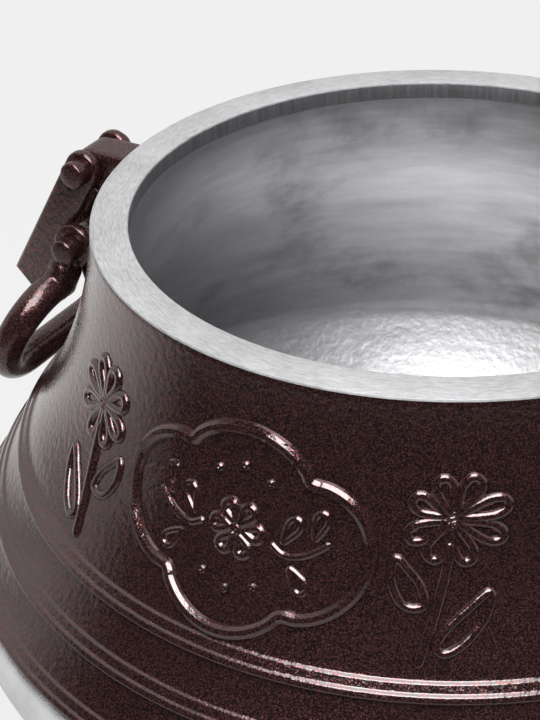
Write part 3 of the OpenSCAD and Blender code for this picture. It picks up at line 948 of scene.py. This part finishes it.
@dataclass
class Clamp:
    """A fork of two cheeks and a crossbar."""

    pin: Point = CLAMP_PIN
    lean: float = 29.987
    width: float = 12.8
    end_width: float = 11.4
    length: float = 56.0
    slant: float = 15.0
    cheek_in: float = 7.0
    cheek_t: float = 4.0
    bar_at: float = 48.5
    bar_r: float = 4.5
    bar_sunk: float = 0.5
    edge: float = 1.3

    def outline(self) -> list[Point]:
        """Outline of a cheek that hangs straight down from the origin.

        Returns:
            Its corners.
        """
        end = self.end_width / 2
        cut = end * math.tan(math.radians(self.slant))
        arc = rounded((0.0, 0.0), self.width / 2, 0.0, 180.0, steps=20)
        return [*arc, (-end, -self.length - cut), (end, -self.length + cut)]

    def build(self, side: Side, enamel: bpy.types.Material) -> None:
        """Builds one side's fork.

        Args:
            side: The side of the pot.
            enamel: Its finish.
        """
        bm = bmesh.new()
        for low in (self.cheek_in, -self.cheek_in - self.cheek_t):
            plate(bm, self.outline(), low, low + self.cheek_t, self.edge)
        bar = Matrix.Translation((0, 0, -self.bar_at * MM)) @ Matrix.Rotation(math.radians(90), 4, "X")
        radius = self.bar_r * MM
        bmesh.ops.create_cone(bm, cap_ends=True, segments=40, radius1=radius, radius2=radius,
                              depth=2 * (self.cheek_in + self.bar_sunk) * MM, matrix=bar)
        hang(bm, self.pin, self.lean, side)
        piece = show(f"{side.word}_fork", bm, (enamel,), sharp=30.0)
        seat(piece, f"{side.word}_clamp", Slot.PAINTED, f"{side.word}_clamp_fork")


@dataclass
class Rivet:
    """A pin with a long front head and a peened rear head."""

    name: str
    pin: Point
    shank_r: float
    reach: float
    head_l: float
    head_r: float = 4.6
    tail_t: float = 1.8
    play: float = 0.3
    round_edge: float = 1.1
    crown: float = 0.1
    crown_share: float = 0.4
    chamfer: Point = (0.2, 0.4)

    def profile(self) -> list[Point]:
        """The pin's half section, from the rear end to the front.

        Returns:
            Its points.
        """
        soft = self.round_edge
        face = self.reach + self.play
        back = -face - self.tail_t
        front = face + self.head_l
        flat_r = self.head_r - soft
        tail = [(0.0, back), (flat_r, back + self.crown),
                *rounded((flat_r, back + soft), soft, -80.0, 0.0, steps=5),
                (self.head_r, -face), (self.shank_r, -face)]
        inset, rise = self.chamfer
        head = [(self.shank_r, face), (self.head_r - inset, face), (self.head_r, face + rise),
                *rounded((flat_r, front - soft), soft, 0.0, 80.0, steps=5)]
        top = [(self.head_r * self.crown_share, front + self.crown), (0.0, front + 1.2 * self.crown)]
        return tail + head + top

    def build(self, side: Side, enamel: bpy.types.Material) -> None:
        """Builds one side's pin.

        Args:
            side: The side of the pot.
            enamel: Its finish.
        """
        bm = bmesh.new()
        turn(bm, self.profile(), steps=40)
        weld(bm)
        place = Matrix.Translation((side.value * self.pin[0] * MM, 0, self.pin[1] * MM))
        bmesh.ops.transform(bm, matrix=place @ Matrix.Rotation(math.radians(90), 4, "X"), verts=bm.verts)
        node = f"{side.word}_{self.name}"
        piece = show(f"{node}_rivet", bm, (enamel,), sharp=50.0)
        seat(piece, "pot", Slot.PAINTED, node)


@dataclass
class RingHandle:
    """A round-bar oval ring with two necks and eyes, cast in one and open between the eyes."""

    pin: Point = RING_PIN
    lean: float = 25.0
    eye_in: float = 11.3
    eye_t: float = 4.4
    eye_r: float = 7.9
    eye_edge: float = 0.8
    stub_edge: float = 1.2
    bar_r: float = 5.6
    root_at: float = 5.4
    root_r: float = 2.6
    neck_at: float = 9.0
    neck_r: float = 5.9
    neck_out: float = 0.4
    bend_r: float = 4.0
    loop_end_r: float = 18.2
    loop_half: float = 16.7
    loop_at: float = 35.8
    loop_start: float = 82.0

    def path(self) -> list[Place]:
        """The bar's middle line in the ring's plane, from one eye to the other.

        Returns:
            Places as (Y, Z, radius of the bar).
        """
        eye_y = self.eye_in + self.eye_t / 2
        neck_y = eye_y + self.neck_out
        bend = (neck_y + self.bend_r, self.loop_end_r - self.loop_at + self.bend_r)
        loop = (self.loop_half, -self.loop_at)
        half = [(eye_y, -self.root_at, self.root_r), (neck_y, -self.neck_at, self.neck_r)]
        half += [(y, z, self.neck_r) for y, z in rounded(bend, self.bend_r, 180.0, 270.0, steps=6)]
        half += [(y, z, self.bar_r)
                 for y, z in rounded(loop, self.loop_end_r, self.loop_start, -90.0, steps=32)]
        return half + [(-y, z, radius) for y, z, radius in reversed(half)]

    def places(self) -> list[Matrix]:
        """One matrix for each ring of the bar: its place, its turn and its size.

        Returns:
            The matrices, from one eye to the other.
        """
        path = self.path()
        points = [Vector((0, y * MM, z * MM)) for y, z, _ in path]
        across = Vector((1, 0, 0))
        places = []
        for i, point in enumerate(points):
            ahead = (points[min(i + 1, len(points) - 1)] - points[max(i - 1, 0)]).normalized()
            turned = Matrix((across, ahead.cross(across), ahead)).transposed().to_4x4()
            places.append(Matrix.Translation(point) @ turned @ Matrix.Scale(path[i][2] * MM, 4))
        return places

    def build(self, side: Side, enamel: bpy.types.Material) -> None:
        """Builds one side's ring.

        Args:
            side: The side of the pot.
            enamel: Its finish.
        """
        bm = bmesh.new()
        sweep(bm, self.places(), closed=False, sides=24)
        stub = (0.0, self.loop_end_r - self.loop_at)
        for low in (self.eye_in, -self.eye_in - self.eye_t):
            plate(bm, disc((0.0, 0.0), self.eye_r), low, low + self.eye_t, self.eye_edge)
            plate(bm, disc(stub, self.neck_r), low, low + self.eye_t, self.stub_edge)
        self._clear_fork(bm)
        hang(bm, self.pin, self.lean, side)
        piece = show(f"{side.word}_ring", bm, (enamel,))
        blended(piece, voxel=0.7, rounds=12)
        seat(piece, f"{side.word}_ring", Slot.PAINTED, f"{side.word}_ring_handle")

    def _clear_fork(self, bm: bmesh.types.BMesh) -> None:
        """Flattens the inner faces of the necks, so that they pass outside the fork.

        Args:
            bm: The mesh, which hangs straight down from the origin.
        """
        limit = self.eye_in * MM
        for vert in bm.verts:
            if vert.co.z > -self.loop_at * MM and abs(vert.co.y) < limit:
                vert.co.y = math.copysign(limit, vert.co.y)


class Line(Enum):
    """The kinds of raised line, each with its half width and its height in millimetres."""

    PETAL = (1.6, 1.25)
    STEM = (1.65, 1.5)
    LEAF = (1.5, 1.2)
    FRAME = (2.15, 1.85)
    SEED = (0.8, 1.3)
    SPRIG = (1.2, 1.1)
    SPRIG_LEAF = (1.1, 1.1)
    DOT = (0.9, 1.3)


@dataclass
class Bead:
    """A raised line of an ornament, drawn flat: X across and Y up from the ornament's middle."""

    points: Sequence[Point]
    line: Line
    closed: bool = True
    PER_SPAN = 6

    def curve(self) -> list[Point]:
        """The line through the points, with soft bends between them.

        Returns:
            Places along it.
        """
        spans = len(self.points) - (0 if self.closed else 1)
        places = []
        for i in range(spans):
            four = [self._point(i + k) for k in (-1, 0, 1, 2)]
            places += [self._between(four, step / self.PER_SPAN) for step in range(self.PER_SPAN)]
        return places if self.closed else [*places, self.points[-1]]

    def _point(self, number: int) -> Point:
        """A point by number, round the loop or held at an open end."""
        count = len(self.points)
        return self.points[number % count] if self.closed else self.points[min(max(number, 0), count - 1)]

    @staticmethod
    def _between(four: Sequence[Point], share: float) -> Point:
        """A place between the middle two of four points.

        Args:
            four: The points.
            share: How far it lies from the second to the third.

        Returns:
            The place.
        """
        s2 = share * share
        s3 = s2 * share
        weights = (-s3 + 2 * s2 - share, 3 * s3 - 5 * s2 + 2, -3 * s3 + 4 * s2 + share, s3 - s2)
        x, y = (sum(weight * point[k] for weight, point in zip(weights, four)) / 2 for k in (0, 1))
        return x, y


@dataclass
class Ornament:
    """Raised lines on the shoulder, placed by azimuth and depth below the rim."""

    name: str
    beads: Sequence[Bead]
    azimuth: float
    drop: float
    flip: float = 1.0
    sharp: float = 60.0
    SIDES = 10
    SUNK = 0.15
    TAPER = 0.55

    def build(self, form: PotForm, enamel: bpy.types.Material) -> None:
        """Builds the lines as one relief on the shoulder.

        Args:
            form: The pot that carries them.
            enamel: Their finish.
        """
        bm = bmesh.new()
        for bead in self.beads:
            sweep(bm, self._places(form, bead), bead.closed, self.SIDES)
        bmesh.ops.recalc_face_normals(bm, faces=bm.faces)
        piece = show(self.name, bm, (enamel,), self.sharp)
        seat(piece, "pot", Slot.CASTING)

    def _places(self, form: PotForm, bead: Bead) -> list[Matrix]:
        """One matrix for each ring of a bead: its place, its turn and its size.

        Args:
            form: The pot that carries the bead.
            bead: The bead.

        Returns:
            The matrices, along the bead.
        """
        middle = form.along_at_drop(self.drop)
        spots = []
        for x, y in bead.curve():
            (radius, _), _ = form.outside_at(middle - y)
            azimuth = self.azimuth + math.degrees(self.flip * x / radius)
            spots.append(form.on_shoulder(azimuth, middle - y, -self.SUNK))
        last = len(spots) - 1
        half_width, height = bead.line.value
        flat_top = Matrix.Rotation(math.pi / self.SIDES, 4, "Z")
        places = []
        for i, (place, normal) in enumerate(spots):
            before = spots[i - 1 if bead.closed else max(i - 1, 0)]
            after = spots[(i + 1) % len(spots) if bead.closed else min(i + 1, last)]
            ahead = (after[0] - before[0]).normalized()
            across = normal.cross(ahead).normalized()
            size = self.TAPER * MM if not bead.closed and i in (0, last) else MM
            turned = Matrix((across, ahead.cross(across), ahead)).transposed().to_4x4()
            grown = Matrix.Diagonal((half_width * size, height * size, size, 1.0))
            places.append(Matrix.Translation(place) @ turned @ grown @ flat_top)
        return places


@dataclass
class Reliefs:
    """The ornaments on the front of the shoulder: a four-lobed frame between two flowers."""

    notch: Point = (18.6, 18.9)
    tall: float = 9.8
    wide: float = 19.6
    tilt: float = -3.0
    petal_w: float = 4.6
    petal_start: float = 2.2
    small_w: float = 3.6
    heart_l: float = 7.6
    heart_start: float = 2.4
    leaf_l: float = 8.0
    leaf_start: float = 0.6
    seed_r: float = 0.7
    dot_r: float = 0.6
    PETAL_SIDE = ((0.0, 0.12), (0.30, 0.62), (0.66, 1.0), (0.92, 0.72))
    BLOSSOM = (
        (103, 11.2), (59, 12.9), (16, 15.1), (-21, 14.3), (-69, 12.5), (-116, 12.4), (206, 12.5),
        (154, 11.1))
    SEEDS = (
        ((-0.9, 1.2), (0.6, 1.9), (1.0, 0.8), (-0.6, 0.3)),
        ((-0.6, -1.4), (0.8, -0.6), (1.2, -1.6), (-0.2, -2.4)))
    STEM = ((-0.4, -6.0), (-0.9, -11.4), (-2.2, -17.9), (-4.5, -26.5), (-8.6, -40.1))
    LEAVES = (
        ((-14.3, -11.4), (-15.7, -16.5), (-13.6, -22.6), (-10.1, -24.6), (-6.8, -23.2), (-8.0, -18.3),
         (-10.8, -14.7)),
        ((-3.8, -34.2), (-1.4, -30.0), (4.5, -24.3), (10.3, -19.8), (9.0, -26.5), (3.8, -33.2),
         (-1.3, -36.2)))
    SPRIG = ((10.5, -1), (15, -3.4), (21, -2), (27, 2.4))
    SPRIG_LEAVES = ((14.0, -0.2, 66.0), (17.0, -6.4, -48.0), (22.5, 2.4, 80.0))
    DOTS = ((0, 18), (-8, 15), (8, 15), (0, -17), (-8, -14.5), (8, -14.5))

    @classmethod
    def petal(cls, angle: float, length: float, width: float, start: float) -> list[Point]:
        """Outline of a petal at an angle in degrees, from a start to a length off the flower's middle."""
        sides = [*cls.PETAL_SIDE, (1.0, 0.0), *((along, -half) for along, half in reversed(cls.PETAL_SIDE))]
        return swung([(start + (length - start) * along, width / 2 * half) for along, half in sides], angle)

    @staticmethod
    def dot(x: float, y: float, size: float, line: Line) -> Bead:
        """A small ring about a place."""
        return Bead(((x - size, y), (x, y + size), (x + size, y), (x, y - size)), line)

    def border(self) -> Bead:
        """A frame of four round lobes that meet in notches.

        Returns:
            Its line.
        """
        x, y = self.notch
        lobes = ((x, y, self.tall), (y, x, self.wide)) * 2
        points = []
        for turned, (half, reach, bulge) in zip((90, 0, -90, 180), lobes):
            radius = (half * half + bulge * bulge) / (2 * bulge)
            opened = math.degrees(math.atan2(half, radius - bulge))
            lobe = rounded((reach + bulge - radius, 0.0), radius, opened, -opened)
            points += swung(lobe[:-1], turned + self.tilt)
        return Bead(points, Line.FRAME)

    def flower(self) -> list[Bead]:
        """A blossom on a leaning stem with two outlined leaves.

        Returns:
            Its lines.
        """
        beads = [Bead(self.petal(angle, length, self.petal_w, self.petal_start), Line.PETAL)
                 for angle, length in self.BLOSSOM]
        beads += [Bead(seed, Line.SEED) for seed in self.SEEDS]
        beads.append(Bead(self.STEM, Line.STEM, closed=False))
        return beads + [Bead(leaf, Line.LEAF) for leaf in self.LEAVES]

    def emblem(self) -> list[Bead]:
        """A four-lobed frame round a plain sprig.

        Returns:
            Its lines.
        """
        width = self.small_w
        beads = [self.border()]
        beads += [Bead(self.petal(angle, self.heart_l, width, self.heart_start), Line.PETAL)
                  for angle in range(0, 360, 60)]
        beads.append(self.dot(0.0, 0.0, self.seed_r, Line.SEED))
        for side in Side:
            beads.append(Bead([(side.value * x, y) for x, y in self.SPRIG], Line.SPRIG, closed=False))
            for x, y, angle in self.SPRIG_LEAVES:
                leaf = self.petal(angle, self.leaf_l, width, self.leaf_start)
                beads.append(Bead([(side.value * (x + u), y + v) for u, v in leaf], Line.SPRIG_LEAF))
        return beads + [self.dot(x, y, self.dot_r, Line.DOT) for x, y in self.DOTS]

    def build(self, form: PotForm, enamel: bpy.types.Material) -> None:
        """Builds the three ornaments.

        Args:
            form: The pot that carries them.
            enamel: Their finish.
        """
        ornaments = (
            Ornament("emblem_relief", self.emblem(), azimuth=-0.9, drop=44.4, sharp=24.0),
            Ornament("right_flower_relief", self.flower(), azimuth=28.5, drop=32.7),
            Ornament("left_flower_relief", self.flower(), azimuth=-31.2, drop=33.4, flip=-1.0))
        for ornament in ornaments:
            ornament.build(form, enamel)


@dataclass
class Lid:
    """The loose lid: its CAD nodes keep their shapes and get their finishes."""

    steel: TurnedMetal = TurnedMetal(
        "turned_steel", (0.34, 0.35, 0.36, 1), (0.66, 0.67, 0.69, 1),
        across_per_m=300.0, radial_per_m=900.0, upright_per_m=900.0,
        rough=0.26, metal=1.0)
    brass: TurnedMetal = TurnedMetal(
        "turned_brass", (0.36, 0.22, 0.07, 1), (0.76, 0.54, 0.22, 1),
        across_per_m=300.0, radial_per_m=900.0, upright_per_m=900.0,
        rough=0.24, metal=1.0)
    rubber: Moulded = Moulded("gasket_rubber", (0.018, 0.018, 0.02, 1), (0.06, 0.06, 0.062, 1), rough=0.62)
    phenolic: Moulded = Moulded("phenolic", (0.012, 0.010, 0.010, 1), (0.03, 0.026, 0.024, 1), rough=0.30)
    enamel: Enamel = Enamel("lid_enamel")

    def dress(self) -> None:
        """Gives each node of the lid its finish."""
        wearers = (
            (self.steel, ("grip_washers", "grip_screws", "regulator_weight")),
            (self.brass, ("steam_nozzle", "nozzle_nut", "safety_bush")),
            (self.rubber, ("lid_gasket", "nozzle_seal", "safety_plug")),
            (self.phenolic, ("lid_grip", "weight_cap")),
            (self.enamel, ("lid_shell",)),
        )
        for finish, names in wearers:
            material = finish.material()
            for name in names:
                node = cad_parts[name]
                node.data.materials.clear()
                node.data.materials.append(material)
                log.info("%s keeps its CAD shape", name)


@dataclass(frozen=True)
class Lamp:
    """A soft rectangular lamp that faces the pot, with its power in watts."""

    name: str
    place: Place
    size: Point
    power: float
    AIM = (0.0, 0.0, 0.12)

    def light(self) -> None:
        """Adds the lamp to the scene."""
        data = bpy.data.lights.new(self.name, "AREA")
        data.shape = "RECTANGLE"
        data.size, data.size_y = self.size
        data.energy = self.power
        lamp = bpy.data.objects.new(self.name, data)
        lamp.location = self.place
        lamp.rotation_euler = (Vector(self.AIM) - Vector(self.place)).to_track_quat("-Z", "Y").to_euler()
        bpy.context.scene.collection.objects.link(lamp)


@dataclass
class Studio:
    """The plain pale room: floor, soft lamps and the camera of the photograph."""

    camera_at: Place = (0.21615, -0.44912, 0.44832)
    camera_turn: Place = (58.105, 1.182, 30.975)
    lens: float = 92.957
    floor_r: float = 6.0
    floor_grey: Colour = (0.85, 0.85, 0.85, 1)
    floor_rough: float = 0.8
    pale: float = 0.864
    shown: float = 0.94
    away: Point = (-0.62, 0.78)
    back_span: Span = (-0.08, 0.26)
    back_fade: Span = (0.35, 0.85)
    back_loss: float = 0.6
    front_fade: Span = (0.28, 0.58)
    front_share: float = 0.42
    mirror_gain: float = 1.15
    mirror_loss: float = 0.98
    sky_away: Point = (-0.2, 0.98)
    sky_span: Span = (-0.42, 0.05)
    sky_dark: float = 0.02
    sky_rise: float = 0.58
    LAMPS = (
        Lamp("front_softbox", (0.30, -0.72, 1.38), size=(1.00, 0.90), power=26.0),
        Lamp("top_softbox", (-0.05, 0.0, 1.60), size=(0.90, 0.90), power=10.0))

    def build(self) -> None:
        """Builds the whole room."""
        self._camera()
        self._floor()
        self._world()
        for lamp in self.LAMPS:
            lamp.light()
        bpy.context.scene.view_settings.view_transform = "Standard"

    def _camera(self) -> None:
        """Sets the camera to the photograph's view."""
        data = bpy.data.cameras.new("camera")
        data.sensor_width = 36.0
        data.lens = self.lens
        data.clip_start = 0.01
        camera = bpy.data.objects.new("camera", data)
        camera.location = self.camera_at
        camera.rotation_euler = [math.radians(angle) for angle in self.camera_turn]
        bpy.context.scene.collection.objects.link(camera)
        bpy.context.scene.camera = camera

    def _floor(self) -> None:
        """Adds the floor, which shows the background's colour and keeps a soft shadow.

        Mirrors see all of its glow behind the pot, and little of it in front.
        """
        bm = bmesh.new()
        bmesh.ops.create_circle(bm, cap_ends=True, segments=96, radius=self.floor_r)
        shader = Shader("floor")
        shader.finish({"Base Color": self.floor_grey, "Roughness": self.floor_rough})
        mirrored = shader.ray("Glossy")
        reach = shader.radius()
        back = shader.towards(self.away).step(*self.back_span)
        back = back * (1.0 - reach.step(*self.back_fade) * self.back_loss)
        front = (1.0 - reach.step(*self.front_fade)) * (1.0 - back) * self.front_share
        dimmed = (back + front) * self.mirror_gain - self.mirror_loss
        level = self.pale * (1.0 + mirrored * dimmed)
        glow = shader.node("ShaderNodeEmission", {}, {"Color": level})
        seen = (shader.ray("Camera") + shader.ray("Transmission")) * self.shown + mirrored
        mixed = shader.node("ShaderNodeMixShader", {}, {0: seen, 1: shader.lit, 2: glow})
        shader.feed(shader.surface, mixed)
        show("floor", bm, (shader.material,))

    def _world(self) -> None:
        """Sets a soft world that is bright at the back and sides and dark behind the camera."""
        world = bpy.data.worlds.new("room")
        world.use_nodes = True
        bpy.context.scene.world = world
        sheet = Sheet(world.node_tree, "Generated")
        level = self.sky_dark + sheet.towards(self.sky_away).step(*self.sky_span) * self.sky_rise
        glow = sheet.node("ShaderNodeBackground", {}, {"Color": level})
        output = sheet.tree.nodes.new("ShaderNodeOutputWorld")
        sheet.feed(output.inputs["Surface"], glow)


def main() -> None:
    """Builds the pieces in order and sets up the room."""
    logging.basicConfig(level=logging.INFO, format="%(message)s")
    form = PotForm()
    casting = Enamel("relief_enamel", gloss=0.09, peel_depth=0.00012).material()
    fittings = Enamel("fitting_enamel", ground=(0.010, 0.0045, 0.0045, 1), gloss=0.16, ior=1.6).material()
    Pot(form).build(fittings)
    Reliefs().build(form, casting)
    for side in Side:
        Clamp().build(side, fittings)
        RingHandle().build(side, fittings)
        Rivet("clamp_pin", CLAMP_PIN, shank_r=3.2, reach=11.0, head_l=5.0).build(side, fittings)
        Rivet("ring_pin", RING_PIN, shank_r=3.0, reach=15.7, head_l=5.5).build(side, fittings)
    Lid().dress()
    Studio().build()


if __name__ == "__main__":
    main()
